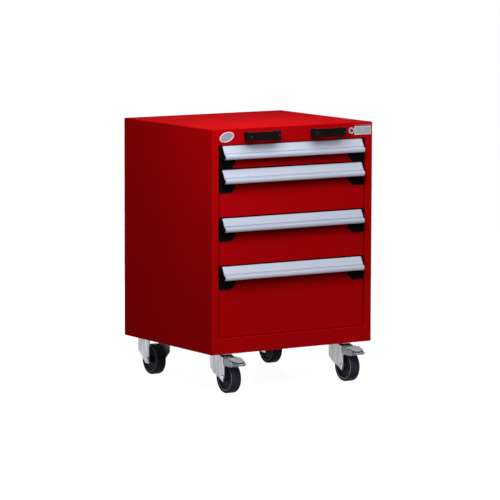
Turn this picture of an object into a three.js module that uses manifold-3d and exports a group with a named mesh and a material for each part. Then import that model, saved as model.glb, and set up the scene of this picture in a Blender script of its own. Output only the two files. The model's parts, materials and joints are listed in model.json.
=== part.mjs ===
// A mobile drawer cabinet: a folded and welded steel housing that holds four drawers on
// telescopic slides, with a key lock, two push grips, two braked swivel casters in front
// and two rigid casters behind. Millimetres; X to the right, Y to the back, Z up from the floor.
import * as THREE from 'three';
import { mergeVertices } from 'three/addons/utils/BufferGeometryUtils.js';
import Module from 'manifold-3d';

const wasm = await Module();
wasm.setup();

// Clearances, and the overrun of every cut
const seatGap = 0.3;
const slideGap = 0.4;
const turnGap = 0.4;
const cutOverrun = 5;

// Facets round a large and a small turned piece, and along a rounded corner
const wheelFacets = 32;
const pinFacets = 16;
const cornerSteps = 6;

// Housing
const housingWidth = 609.6;
const housingDepth = 533.4;
const topRailHeight = 50.8;
const bottomRailHeight = 50.8;
const sheet = 1.5;
const postWidth = 25.8;
const postReturn = 21.7;
const railLip = 18;

// Drawer bays, from the top
const smallBay = 76.2;
const mediumBay = 152.4;
const largeBay = 228.6;
const bayHeights = [smallBay, mediumBay, mediumBay, largeBay];

// Drawer front: a folded pan whose upper band is set back for the fingers, and whose rear
// flanges lie on the tray
const frontSetback = 4;
const frontGap = 2.3;
const frontSideGap = 4.6;
const frontFold = 16;
const frontFlange = 28;
const recessDepth = 5;
const recessDrop = 56;
const recessRamp = 16;

// Drawer handle: one aluminium section with a sloping face, a groove and a round lip
const handleInset = 10.2;
const handleBrow = 1;
const slopeReach = 13.5;
const slopeDrop = 23;
const grooveDepth = 1.3;
const lipReach = 22.5;
const lipRadius = 8.5;
const handleWall = 2.2;
const handleBackWall = 2.35;
const handleBackDrop = 40;

// End caps of the handle
const capThickness = 4;
const footOverhang = 6;
const footWidth = 57;
const footDrop = 72;
const footFace = 2;
const footChamfer = 14;

// Drawer tray
const traySheet = 1.2;
const trayDepth = 480;
const trayLift = 6;
const trayRelief = 16;

// Telescopic slides: rail on the liner, carriage in the rail, runner in the carriage
const slideSpace = 19;
const slideSheet = 1.5;
const slideRise = 38.1;
const railHeight = 38;
const railDepth = 16;
const railLipHeight = 3;
const railSetback = 0.5;
const railEndInset = 3;
const carriageDepth = 10.4;
const carriageLength = 450;
const carriageSideGap = 2;
const runnerHeadDepth = 7.9;
const runnerNeckHeight = 27;
const runnerEndInset = 2;
const linerFrontInset = 41.7;
const linerBackInset = 26.7;
const linerTopRelief = 12;

// Push grips on the top rail
const gripLength = 122;
const gripHeight = 27;
const gripReach = 31;
const gripBar = 9;
const gripLeg = 14;
const gripCorner = 7;

// Lock
const lockInset = 83.3;
const lockGripGap = 25.6;
const lockFlangeRadius = 9.9;
const lockFlangeThickness = 2;
const lockBarrelRadius = 9.2;
const lockBarrelLength = 20;
const plugRadius = 6.2;
const camRadius = 13;
const camThickness = 2;
const lockPinRadius = 2;
const lockPinThrow = 10;
const lockPinGap = 0.7;
const keywayWidth = 1.4;
const keywayHeight = 8;
const keywayDepth = 3;
const lockBarThickness = 3;
const lockBarWidth = 18;
const lockLegWidth = 12;
const lockLegDrop = 590;
const lockTurn = Math.PI / 2;

// Casters
const casterSideInset = 77.5;
const casterEndInset = 58;
const mountPlateLength = 95;
const mountPlateWidth = 67;
const mountPlateThickness = 4;
const wheelRadius = 50;
const wheelWidth = 33;
const treadWidth = 27;
const tyreDepth = 7;
const tyreTuck = 3;
const tyreWallRise = 2.5;
const tyreShoulderWidth = 1.5;
const tyreShoulderDrop = 2;
const hubWidth = 38.4;
const hubBossRadius = 12;
const hubRimWidth = 30;
const hubRimDepth = 6;
const hubWebWidth = 14;
const hubFillet = 3;
const axleRadius = 5;
const axleHeadRadius = 8;
const axleHeadLength = 5;
const axleHeadChamfer = 1.8;
const forkWidth = 45.4;
const forkSheet = 3;
const legBelowAxle = 14;
const crownClearance = 11;
const crownDrop = 14;

// Swivel head and fork: reaches from the swivel axis, and heights above or below the axle
// or the wheel's top
const swivelTrail = 36;
const headRadius = 34;
const headThickness = 6;
const headConeRadius = 22;
const headConeTip = 13;
const crownWidth = 60;
const crownReach = 38;
const crownCorner = 15;
const crownFront = 30;
const flareStart = 15;
const flareRear = 5;
const kingpinRadius = 6;
const kingpinNutRadius = 10;
const kingpinNutLength = 5;
const legFront = 44.5;
const legFrontBelowAxle = 3;
const skirtReach = 8;
const skirtAboveAxle = 12.5;
const skirtKneeReach = 26;
const skirtKneeBelowTop = 23;
const skirtBelowTop = 4;
const legShoulder = 8;
const earReach = 57;
const earBelowTop = 2;
const earAboveTop = 12;

// Brake pedal: reaches from the swivel axis, and heights above or below the wheel's top
const pedalPivotReach = 50;
const pedalPivotRise = 6;
const pedalPinRadius = 3;
const pedalSheet = 2;
const wingRear = 40;
const wingRearDrop = 3;
const wingHeel = 46;
const wingDrop = 10;
const wingToe = 90;
const wingNose = 98;
const wingNoseDrop = 4;
const wingBrow = 88;
const wingBrowRise = 7;
const wingStep = 54;
const wingStepRise = 8;
const wingHorn = 44;
const wingHornRise = 16;
const wingRearRise = 12;
const flapRear = 60;
const flapPostFront = 66;
const flapRise = 15;
const upperNoseStart = 66;
const upperNoseRise = 14.6;
const upperTipReach = 108;
const upperTipRise = 7;
const lowerRootReach = 88;
const lowerNoseStart = 97;
const lowerNoseRise = -1;
const lowerTipReach = 124.5;
const lowerTipRise = 4;
const shoeFront = 76;
const shoeRear = 68;
const shoeDrop = 5;
const shoeRise = 11.8;
const shoeWidth = 24;

// Rigid bracket: each leg leans to the opposite side of the axle
const bracketWidth = 50;
const bracketLegShort = 7;
const bracketLegLong = 60;
const bracketLegHeel = 14;
const bracketFlange = 5.4;
const kneeAboveAxle = 27;

// Places that follow from the sizes above
const halfWidth = housingWidth / 2;
const frontY = -housingDepth / 2;
const backY = housingDepth / 2;
const wheelTopZ = 2 * wheelRadius;
const crownBottomZ = wheelTopZ + crownClearance;
const crownTopZ = crownBottomZ + forkSheet;
const bottomZ = crownTopZ + crownDrop;
const housingHeight = bayHeights.reduce((sum, bay) => sum + bay, topRailHeight + bottomRailHeight);
const topZ = bottomZ + housingHeight;
const postInnerX = halfWidth - postWidth;
const sideInnerX = halfWidth - sheet;
const basePanelZ = bottomZ + mountPlateThickness + seatGap;
const frontHalfWidth = postInnerX - frontSideGap;
const trayWidth = 2 * (postInnerX - slideSpace);
const trayFrontY = frontY + frontSetback + frontFold + seatGap;
const lockX = halfWidth - lockInset;
const gripX = lockX - lockFlangeRadius - lockGripGap - gripLength / 2;
const lockZ = topZ - topRailHeight / 2;
const casterX = halfWidth - casterSideInset;
const swivelCasterY = frontY + casterEndInset;
const rigidCasterY = backY - casterEndInset;
const pedalOverhang = lowerTipReach - casterEndInset;

// Solids from geometries
function solid(geometry) {
  geometry.deleteAttribute('normal');
  geometry.deleteAttribute('uv');
  const merged = mergeVertices(geometry);
  const corners = merged.index.array;
  const faces = [];
  for (let i = 0; i < corners.length; i += 3) {
    const [a, b, c] = [corners[i], corners[i + 1], corners[i + 2]];
    if (a !== b && b !== c && c !== a) faces.push(a, b, c);
  }
  return new wasm.Manifold(new wasm.Mesh({
    numProp: 3,
    vertProperties: new Float32Array(merged.attributes.position.array),
    triVerts: new Uint32Array(faces),
  }));
}

function toGeometry(body) {
  const mesh = body.getMesh();
  const geometry = new THREE.BufferGeometry();
  geometry.setAttribute('position', new THREE.BufferAttribute(mesh.vertProperties, 3));
  geometry.setIndex(new THREE.BufferAttribute(mesh.triVerts, 1));
  geometry.computeVertexNormals();
  return geometry;
}

// A box between two corners, given as pairs of bounds in any order
function block(xs, ys, zs) {
  const spans = [xs, ys, zs].map(([a, b]) => [Math.min(a, b), Math.max(a, b)]);
  const geometry = new THREE.BoxGeometry();
  const places = geometry.attributes.position;
  for (let i = 0; i < places.count; i += 1) {
    const corner = [places.getX(i), places.getY(i), places.getZ(i)];
    places.setXYZ(i, ...corner.map((value, axis) => spans[axis][value < 0 ? 0 : 1]));
  }
  return solid(geometry);
}

// A shape drawn out along one axis: along x it lies in (y, z), along y in (x, z), along z in (x, y)
function prism(axis, shape, a, b) {
  const low = Math.min(a, b);
  const high = Math.max(a, b);
  const geometry = new THREE.ExtrudeGeometry(shape, {
    depth: 1, bevelEnabled: false, curveSegments: cornerSteps,
  });
  const places = geometry.attributes.position;
  for (let i = 0; i < places.count; i += 1) {
    const [first, second, along] = [places.getX(i), places.getY(i), places.getZ(i)];
    if (axis === 'x') places.setXYZ(i, along > 0 ? high : low, first, second);
    if (axis === 'y') places.setXYZ(i, first, along > 0 ? low : high, second);
    if (axis === 'z') places.setXYZ(i, first, second, along > 0 ? high : low);
  }
  return solid(geometry);
}

function polygon(points) {
  return new THREE.Shape(points.map(([a, b]) => new THREE.Vector2(a, b)));
}

// A profile of (distance along the axis, radius) turned about x, y or z. Every facet touches
// the true circle from outside, so a wheel stands on a flat at its true radius.
function turned(axis, profile, facets) {
  const reach = 1 / Math.cos(Math.PI / facets);
  const points = profile.map(([along, radius]) => new THREE.Vector2(radius * reach, along));
  const geometry = new THREE.LatheGeometry(points, facets, Math.PI / facets);
  const places = geometry.attributes.position;
  for (let i = 0; i < places.count; i += 1) {
    const [first, along, second] = [places.getX(i), places.getY(i), places.getZ(i)];
    if (axis === 'x') places.setXYZ(i, along, second, first);
    if (axis === 'z') places.setXYZ(i, second, first, along);
  }
  return solid(geometry);
}

function pin(axis, radius, start, end) {
  return turned(axis, [[start, 0], [start, radius], [end, radius], [end, 0]], pinFacets);
}

function join(first, ...others) {
  return others.reduce((body, other) => body.add(other), first);
}

// Materials
function finish(color, roughness, metalness) {
  return new THREE.MeshStandardMaterial({ color, roughness, metalness, flatShading: true });
}

function paintedSteel() {
  return finish(0xb00a10, 0.35, 0.1);
}

function traySteel() {
  return finish(0x8d9196, 0.5, 0.2);
}

function satinAluminium() {
  return finish(0xcfd5de, 0.35, 0.9);
}

function blackPlastic() {
  return finish(0x141416, 0.55, 0);
}

function zincSteel() {
  return finish(0xbcc0c4, 0.35, 0.9);
}

function chromedSteel() {
  return finish(0xd8dade, 0.12, 1);
}

function tyreRubber() {
  return finish(0x26272b, 0.7, 0);
}

function hubPlastic() {
  return finish(0x1a1c22, 0.5, 0);
}

function piece(name, body, material) {
  const mesh = new THREE.Mesh(toGeometry(body), material);
  mesh.name = name;
  return mesh;
}

const sides = [['left', -1], ['right', 1]];

// Housing panels. The side sheet is folded twice at the front to make a post.
function sidePanel(side) {
  const outline = polygon([
    [side * halfWidth, backY],
    [side * halfWidth, frontY],
    [side * postInnerX, frontY],
    [side * postInnerX, frontY + postReturn],
    [side * (postInnerX + sheet), frontY + postReturn],
    [side * (postInnerX + sheet), frontY + sheet],
    [side * sideInnerX, frontY + sheet],
    [side * sideInnerX, backY],
  ]);
  return prism('z', outline, bottomZ, topZ - sheet - seatGap);
}

function backPanel() {
  const reach = sideInnerX - seatGap;
  return block([-reach, reach], [backY - sheet, backY], [bottomZ, topZ - sheet - seatGap]);
}

function topPanel() {
  const reach = postInnerX - seatGap;
  const lowZ = topZ - topRailHeight;
  const body = join(
    block([-halfWidth, halfWidth], [frontY, backY], [topZ - sheet, topZ]),
    block([-reach, reach], [frontY, frontY + sheet], [lowZ, topZ]),
    block([-reach, reach], [frontY, frontY + railLip], [lowZ, lowZ + sheet]),
  );
  const hole = pin('y', lockBarrelRadius + seatGap, frontY - cutOverrun, frontY + sheet + cutOverrun);
  return body.subtract(hole.translate([lockX, 0, lockZ]));
}

function basePanel() {
  const betweenPosts = postInnerX - seatGap;
  const betweenSides = sideInnerX - seatGap;
  const highZ = bottomZ + bottomRailHeight;
  return join(
    block([-betweenPosts, betweenPosts], [frontY, frontY + sheet], [bottomZ, highZ]),
    block([-betweenPosts, betweenPosts], [frontY, frontY + railLip], [highZ - sheet, highZ]),
    block([-betweenPosts, betweenPosts], [frontY, backY - sheet - seatGap], [basePanelZ, basePanelZ + sheet]),
    block([-betweenSides, betweenSides], [frontY + postReturn + seatGap, backY - sheet - seatGap],
      [basePanelZ, basePanelZ + sheet]),
  );
}

// Slide members. Each is described by its outline in (x, z) about the middle of the slide.
const railWebX = postInnerX + railSetback;
const railMouthX = railWebX + slideSheet - railDepth;
const carriageWebX = railWebX - carriageSideGap;
const carriageHeight = railHeight - 2 * (slideSheet + slideGap);
const runnerHeight = carriageHeight - 2 * (slideSheet + slideGap);
const runnerWebX = carriageWebX - slideSheet - slideGap;

function slideCentre(bayBottom) {
  return bayBottom + slideRise;
}

// The liner plate stands off the side panel on its two flanges and carries one rail for each drawer
function railPlate(side, bayBottoms) {
  const webX = side * railWebX;
  const outerWebX = side * (railWebX + slideSheet);
  const rootX = side * (railWebX + slideSheet / 2);
  const flangeX = side * (sideInnerX - seatGap);
  const mouthX = side * railMouthX;
  const [startY, endY] = [frontY + linerFrontInset, backY - linerBackInset];
  const railYs = [startY + railEndInset, endY - railEndInset];
  const channel = polygon([
    [webX, startY],
    [flangeX, startY],
    [flangeX, startY + slideSheet],
    [outerWebX, startY + slideSheet],
    [outerWebX, endY - slideSheet],
    [flangeX, endY - slideSheet],
    [flangeX, endY],
    [webX, endY],
  ]);
  const parts = [prism('z', channel, basePanelZ + sheet + seatGap, topZ - topRailHeight - linerTopRelief)];
  for (const bayBottom of bayBottoms) {
    for (const end of [-1, 1]) {
      const edge = slideCentre(bayBottom) + end * railHeight / 2;
      const hook = polygon([
        [rootX, edge],
        [mouthX, edge],
        [mouthX, edge - end * (slideSheet + railLipHeight)],
        [mouthX + side * slideSheet, edge - end * (slideSheet + railLipHeight)],
        [mouthX + side * slideSheet, edge - end * slideSheet],
        [rootX, edge - end * slideSheet],
      ]);
      parts.push(prism('y', hook, ...railYs));
    }
  }
  return join(...parts);
}

function carriage(side, bayBottom) {
  const outerX = side * carriageWebX;
  const innerX = outerX - side * slideSheet;
  const mouthX = outerX - side * carriageDepth;
  const startY = frontY + linerFrontInset;
  const centreZ = slideCentre(bayBottom);
  const [lowZ, highZ] = [centreZ - carriageHeight / 2, centreZ + carriageHeight / 2];
  const channel = polygon([
    [outerX, lowZ],
    [outerX, highZ],
    [mouthX, highZ],
    [mouthX, highZ - slideSheet],
    [innerX, highZ - slideSheet],
    [innerX, lowZ + slideSheet],
    [mouthX, lowZ + slideSheet],
    [mouthX, lowZ],
  ]);
  return prism('y', channel, startY, startY + carriageLength);
}

// The runner is a folded hat section whose legs are welded to the tray's side
function runnerOutline(side, centreZ) {
  const rootX = side * (trayWidth - traySheet) / 2;
  const webX = side * runnerWebX;
  const headX = side * (runnerWebX - runnerHeadDepth);
  const inner = side * slideSheet;
  const neck = runnerNeckHeight / 2;
  const head = runnerHeight / 2;
  const upper = [
    [rootX, neck], [headX, neck], [headX, head], [webX, head],
  ];
  const lower = upper.map(([x, z]) => [x, -z]).reverse();
  const hollowLower = [
    [rootX, slideSheet - neck], [headX + inner, slideSheet - neck],
    [headX + inner, slideSheet - head], [webX - inner, slideSheet - head],
  ];
  const hollowUpper = hollowLower.map(([x, z]) => [x, -z]).reverse();
  return polygon([...upper, ...lower, ...hollowLower, ...hollowUpper].map(([x, z]) => [x, centreZ + z]));
}

// Drawers. The heights here are taken from the bottom of the drawer's bay.
function drawerTray(bayHeight) {
  const half = trayWidth / 2;
  const backEdge = trayFrontY + trayDepth;
  const lowZ = trayLift;
  const highZ = bayHeight + trayLift - trayRelief;
  const shell = block([-half, half], [trayFrontY, backEdge], [lowZ, highZ]);
  const hollow = block(
    [traySheet - half, half - traySheet],
    [trayFrontY + traySheet, backEdge - traySheet],
    [lowZ + traySheet, highZ + cutOverrun],
  );
  const runnerYs = [trayFrontY + runnerEndInset, backEdge - runnerEndInset];
  const runners = sides.map(([, side]) => prism('y', runnerOutline(side, slideRise), ...runnerYs));
  return join(shell.subtract(hollow), ...runners);
}

// From here each outline lies in (y, z), with y from the drawer's front face and z from the
// top of the drawer front, so a point in front of the face has a negative y
function recessFace(drop) {
  const ramp = Math.min(Math.max((drop - recessDrop) / recessRamp, 0), 1);
  return recessDepth * (1 - ramp);
}

// The band that is set back, with its ramp, taken out of the pan's outer or inner face
function recessCut(face) {
  const rampEnd = -recessDrop - recessRamp;
  const outline = polygon([
    [face - cutOverrun, cutOverrun],
    [face + recessDepth, cutOverrun],
    [face + recessDepth, -recessDrop],
    [face, rampEnd],
    [face - cutOverrun, rampEnd],
  ]);
  return prism('x', outline, -housingWidth, housingWidth);
}

function drawerFront(bayHeight) {
  const height = bayHeight - 2 * frontGap;
  const innerHalf = frontHalfWidth - sheet;
  const openingHalf = frontHalfWidth - frontFlange;
  const shell = block([-frontHalfWidth, frontHalfWidth], [0, frontFold], [-height, 0]).subtract(recessCut(0));
  const hollow = block([-innerHalf, innerHalf], [sheet, frontFold - sheet], [sheet - height, -sheet])
    .subtract(recessCut(sheet));
  const opening = block(
    [-openingHalf, openingHalf],
    [frontFold - sheet - slideSheet, frontFold + cutOverrun],
    [sheet - height, -sheet],
  );
  return shell.subtract(hollow).subtract(opening);
}

const lipY = lipRadius - lipReach;
const lipZ = -slopeDrop - handleBackWall - grooveDepth / 2 - lipRadius;
const handleSeat = recessDepth - seatGap;
const handleHalf = postInnerX - frontSideGap - handleInset;
const quarter = Math.PI / 2;

function handleSection() {
  const shape = polygon([
    [handleSeat, 0],
    [-handleBrow, 0],
    [-slopeReach, -slopeDrop],
    [grooveDepth - slopeReach, -slopeDrop - grooveDepth],
    [lipY, lipZ + lipRadius],
  ]);
  shape.absarc(lipY, lipZ, lipRadius, quarter, 3 * quarter, false);
  shape.absarc(lipY, lipZ, lipRadius - handleWall, 3 * quarter, quarter, true);
  shape.lineTo(handleWall - slopeReach, -slopeDrop - handleWall);
  shape.lineTo(handleWall - handleBrow, -handleWall);
  shape.lineTo(handleSeat - handleBackWall, -handleWall);
  shape.lineTo(handleSeat - handleBackWall, -handleBackDrop);
  shape.lineTo(handleSeat, -handleBackDrop);
  return shape;
}

function drawerHandle() {
  return prism('x', handleSection(), -handleHalf, handleHalf);
}

// The cap closes the handle's end inside its wall, covers the drawer front's edge beside it and
// reaches below it as a broad foot
function handleCap(side) {
  const innerX = side * (handleHalf + seatGap);
  const cheekX = innerX + side * capThickness;
  const outerX = cheekX + side * footOverhang;
  const footX = outerX - side * footWidth;
  const footBackY = recessFace(footDrop) - seatGap;
  const cheekRadius = lipRadius - handleWall;
  const cheek = polygon([
    [handleSeat, 0],
    [handleWall - handleBrow, 0],
    [handleWall - slopeReach, -slopeDrop],
    [lipY, lipZ + cheekRadius],
  ]);
  cheek.absarc(lipY, lipZ, cheekRadius, quarter, 3 * quarter, false);
  cheek.lineTo(-footFace, lipZ - lipRadius - handleWall);
  cheek.lineTo(-footFace, -footDrop);
  cheek.lineTo(footBackY, -footDrop);
  cheek.lineTo(handleSeat, -recessDrop);
  const edge = polygon([
    [handleSeat, 0],
    [-handleBrow, 0],
    [-handleBrow, -footDrop],
    [footBackY, -footDrop],
    [handleSeat, -recessDrop],
  ]);
  const foot = polygon([
    [handleSeat, -handleBackDrop - seatGap],
    [-footFace, -handleBackDrop - seatGap],
    [-footFace, -footDrop],
    [footBackY, -footDrop],
    [handleSeat, -recessDrop],
  ]);
  const chamfer = polygon([
    [footX - side * cutOverrun, footChamfer - footDrop + cutOverrun],
    [footX + side * (footChamfer + cutOverrun), -footDrop - cutOverrun],
    [footX - side * cutOverrun, -footDrop - cutOverrun],
  ]);
  const reach = footFace + cutOverrun;
  return join(
    prism('x', cheek, innerX, cheekX),
    prism('x', edge, innerX, outerX),
    prism('x', foot, footX, outerX).subtract(prism('y', chamfer, -reach, reach)),
  );
}

// Push grip: a bridge handle, drawn in plan with y from the housing's front face
function pushGrip() {
  const half = gripLength / 2;
  const shape = polygon([[-half, -seatGap], [-half, gripCorner - gripReach]]);
  shape.absarc(gripCorner - half, gripCorner - gripReach, gripCorner, -2 * quarter, -quarter, false);
  shape.absarc(half - gripCorner, gripCorner - gripReach, gripCorner, -quarter, 0, false);
  shape.lineTo(half, -seatGap);
  shape.lineTo(half - gripLeg, -seatGap);
  shape.lineTo(half - gripLeg, gripBar - gripReach);
  shape.lineTo(gripLeg - half, gripBar - gripReach);
  shape.lineTo(gripLeg - half, -seatGap);
  return prism('z', shape, -gripHeight / 2, gripHeight / 2);
}

// Lock. The plug turns a quarter turn; its pin lifts the bar through a level slot.
const camBackY = lockBarrelLength + seatGap + camThickness;
const lockBarY = camBackY + lockPinGap;
const pinStartAngle = -lockTurn / 2;
const pinRestX = lockPinThrow * Math.cos(pinStartAngle);
const pinRestZ = lockPinThrow * Math.sin(pinStartAngle);

function lockHousing() {
  return turned('y', [
    [-lockFlangeThickness - seatGap, plugRadius + turnGap],
    [lockBarrelLength, plugRadius + turnGap],
    [lockBarrelLength, lockBarrelRadius],
    [-seatGap, lockBarrelRadius],
    [-seatGap, lockFlangeRadius],
    [-lockFlangeThickness - seatGap, lockFlangeRadius],
    [-lockFlangeThickness - seatGap, plugRadius + turnGap],
  ].reverse(), pinFacets);
}

function lockPlug() {
  const faceY = -lockFlangeThickness;
  const body = join(
    pin('y', plugRadius, faceY, camBackY),
    pin('y', camRadius, lockBarrelLength + seatGap, camBackY),
    pin('y', lockPinRadius, camBackY - camThickness / 2, lockBarY + lockBarThickness + lockPinGap)
      .translate([pinRestX, 0, pinRestZ]),
  );
  const keyway = block(
    [-keywayWidth / 2, keywayWidth / 2],
    [faceY - cutOverrun, faceY + keywayDepth],
    [-keywayHeight / 2, keywayHeight / 2],
  );
  return body.subtract(keyway);
}

function lockBar() {
  const outerX = sideInnerX - seatGap - lockX;
  const ys = [lockBarY, lockBarY + lockBarThickness];
  const highZ = pinRestZ + lockBarWidth / 2;
  const slotLow = pinRestX - lockPinRadius - lockPinGap;
  const slotHigh = lockPinThrow + lockPinRadius + lockPinGap;
  const slotHalf = lockPinRadius + lockPinGap;
  const arm = block([slotLow - lockBarWidth / 2, outerX], ys, [highZ - lockBarWidth, highZ]);
  const leg = block([outerX - lockLegWidth, outerX], ys, [highZ - lockLegDrop, highZ]);
  const slot = block(
    [slotLow, slotHigh],
    [ys[0] - cutOverrun, ys[1] + cutOverrun],
    [pinRestZ - slotHalf, pinRestZ + slotHalf],
  );
  return join(arm, leg).subtract(slot);
}

// Wheels, each about its own axle
function tyre() {
  const inner = wheelRadius - tyreDepth;
  const half = wheelWidth / 2;
  const wall = [
    [half - tyreTuck, inner],
    [half, inner + tyreWallRise],
    [half - tyreShoulderWidth, wheelRadius - tyreShoulderDrop],
    [treadWidth / 2, wheelRadius],
  ];
  const mirrored = wall.map(([along, radius]) => [-along, radius]);
  return turned('x', [...mirrored, ...wall.reverse(), mirrored[0]], wheelFacets);
}

function hub() {
  const bore = axleRadius + turnGap;
  const rim = wheelRadius - tyreDepth - seatGap;
  const half = [
    [hubWidth / 2, bore],
    [hubWidth / 2, hubBossRadius],
    [hubWebWidth / 2, hubBossRadius + hubFillet],
    [hubWebWidth / 2, rim - hubRimDepth - hubFillet],
    [hubRimWidth / 2, rim - hubRimDepth],
    [hubRimWidth / 2, rim],
  ];
  const mirrored = half.map(([along, radius]) => [-along, radius]);
  return turned('x', [...mirrored, ...half.reverse(), mirrored[0]], wheelFacets);
}

function axle(width) {
  const seat = width / 2 + seatGap;
  const end = seat + axleHeadLength;
  return turned('x', [
    [-end, 0],
    [-end, axleHeadRadius - axleHeadChamfer],
    [axleHeadChamfer - end, axleHeadRadius],
    [-seat, axleHeadRadius],
    [-seat, axleRadius],
    [seat, axleRadius],
    [seat, axleHeadRadius],
    [end - axleHeadChamfer, axleHeadRadius],
    [end, axleHeadRadius - axleHeadChamfer],
    [end, 0],
  ], pinFacets);
}

function mountPlate() {
  return block(
    [-mountPlateWidth / 2, mountPlateWidth / 2],
    [-mountPlateLength / 2, mountPlateLength / 2],
    [bottomZ, bottomZ + mountPlateThickness],
  );
}

// Swivel caster, about its swivel axis, with the floor at zero and the wheel in front
const pedalPivotZ = wheelTopZ + pedalPivotRise;
const flapTopZ = wheelTopZ + flapRise;
const wingLowZ = wheelTopZ - wingDrop;
const kingpinHole = kingpinRadius + turnGap;

function swivelPlate() {
  const coneTipZ = crownTopZ + seatGap;
  const nutTopZ = crownBottomZ - seatGap;
  const head = turned('z', [
    [nutTopZ - kingpinNutLength, 0],
    [nutTopZ - kingpinNutLength, kingpinNutRadius],
    [nutTopZ, kingpinNutRadius],
    [nutTopZ, kingpinRadius],
    [coneTipZ, kingpinRadius],
    [coneTipZ, headConeTip],
    [bottomZ - headThickness, headConeRadius],
    [bottomZ - headThickness, headRadius],
    [bottomZ + mountPlateThickness / 2, headRadius],
    [bottomZ + mountPlateThickness / 2, 0],
  ], wheelFacets);
  return join(mountPlate(), head);
}

// The fork's outline in plan: two straight legs that flare into a rounded crown
function forkPlan(inset, frontReach) {
  const leg = forkWidth / 2 - inset;
  const crown = crownWidth / 2 - inset;
  const rear = crownReach - inset;
  const corner = crownCorner - inset;
  const shape = polygon([
    [-leg, -frontReach],
    [leg, -frontReach],
    [leg, -flareStart],
    [crown, flareRear],
    [crown, rear - corner],
  ]);
  shape.absarc(crown - corner, rear - corner, corner, 0, quarter, false);
  shape.absarc(corner - crown, rear - corner, corner, quarter, 2 * quarter, false);
  shape.lineTo(-crown, flareRear);
  shape.lineTo(-leg, -flareStart);
  return shape;
}

function fork() {
  const skirtTopZ = bottomZ - headThickness - seatGap;
  const legTipZ = wheelRadius - legBelowAxle;
  const wall = prism('z', forkPlan(0, earReach), legTipZ, skirtTopZ)
    .subtract(prism(
      'z', forkPlan(forkSheet, earReach + cutOverrun), legTipZ - cutOverrun, skirtTopZ + cutOverrun,
    ));
  const side = polygon([
    [-legFront, wheelRadius - legFrontBelowAxle],
    [-swivelTrail, legTipZ],
    [skirtReach, wheelRadius + skirtAboveAxle],
    [skirtKneeReach, wheelTopZ - skirtKneeBelowTop],
    [crownReach, wheelTopZ - skirtBelowTop],
    [crownReach, skirtTopZ],
    [-legShoulder, skirtTopZ],
    [-legFront, wheelTopZ + earAboveTop],
    [-earReach, wheelTopZ + earAboveTop],
    [-earReach, wheelTopZ - earBelowTop],
    [-legFront, wheelTopZ - earBelowTop],
  ]);
  const crown = prism('z', forkPlan(forkSheet / 2, crownFront), crownBottomZ, crownTopZ);
  const axleHole = pin('x', axleRadius + seatGap, -forkWidth, forkWidth);
  const pedalHole = pin('x', pedalPinRadius + turnGap, -forkWidth, forkWidth);
  return join(wall.intersect(prism('x', side, -crownWidth, crownWidth)), crown)
    .subtract(axleHole.translate([0, -swivelTrail, wheelRadius]))
    .subtract(pedalHole.translate([0, -pedalPivotReach, pedalPivotZ]))
    .subtract(turned('z', [
      [crownBottomZ - cutOverrun, 0],
      [crownBottomZ - cutOverrun, kingpinHole],
      [crownTopZ + cutOverrun, kingpinHole],
      [crownTopZ + cutOverrun, 0],
    ], wheelFacets));
}

// A flap of the pedal: a bent sheet, given by its upper side in (y, z), with a round nose
function flap(upperSide, noseStart, tipReach, outer) {
  const lowerSide = upperSide.map(([y, z]) => [y, z - pedalSheet]).reverse();
  const plan = polygon([[outer, 0], [outer, -noseStart]]);
  plan.absellipse(0, -noseStart, outer, tipReach - noseStart, 0, -2 * quarter, true, 0);
  plan.lineTo(-outer, 0);
  const keep = prism('z', plan, wingLowZ - cutOverrun, flapTopZ + cutOverrun);
  return prism('x', polygon([...upperSide, ...lowerSide]), -outer, outer).intersect(keep);
}

// The pedal straddles the fork: two wings, an upper and a lower flap, a brake shoe and its pin
function brakePedal() {
  const inner = forkWidth / 2 + turnGap;
  const outer = inner + pedalSheet;
  const upperNoseZ = wheelTopZ + upperNoseRise;
  const wing = polygon([
    [-wingRear, wheelTopZ - wingRearDrop],
    [-wingHeel, wingLowZ],
    [-wingToe, wingLowZ],
    [-wingNose, wheelTopZ - wingNoseDrop],
    [-wingBrow, wheelTopZ + wingBrowRise],
    [-flapPostFront, wheelTopZ + wingStepRise],
    [-flapPostFront, flapTopZ - pedalSheet / 2],
    [-flapRear, flapTopZ - pedalSheet / 2],
    [-flapRear, wheelTopZ + wingStepRise],
    [-wingStep, wheelTopZ + wingStepRise],
    [-wingHorn, wheelTopZ + wingHornRise],
    [-wingRear, wheelTopZ + wingRearRise],
  ]);
  const upperSide = [
    [-flapRear, flapTopZ],
    [-upperNoseStart, upperNoseZ],
    [-upperTipReach, wheelTopZ + upperTipRise],
  ];
  const lowerSide = [
    [-lowerRootReach, wingLowZ + pedalSheet],
    [-lowerNoseStart, wheelTopZ + lowerNoseRise],
    [-lowerTipReach, wheelTopZ + lowerTipRise],
  ];
  const shoeZs = [wheelTopZ - shoeDrop, wheelTopZ + shoeRise];
  return join(
    prism('x', wing, inner, outer),
    prism('x', wing, -outer, -inner),
    flap(upperSide, upperNoseStart, upperTipReach, outer),
    flap(lowerSide, lowerNoseStart, lowerTipReach, outer),
    block([-shoeWidth / 2, shoeWidth / 2], [-shoeFront, -shoeRear], shoeZs),
    pin('x', pedalPinRadius, -outer, outer).translate([0, -pedalPivotReach, pedalPivotZ]),
  );
}

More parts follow.
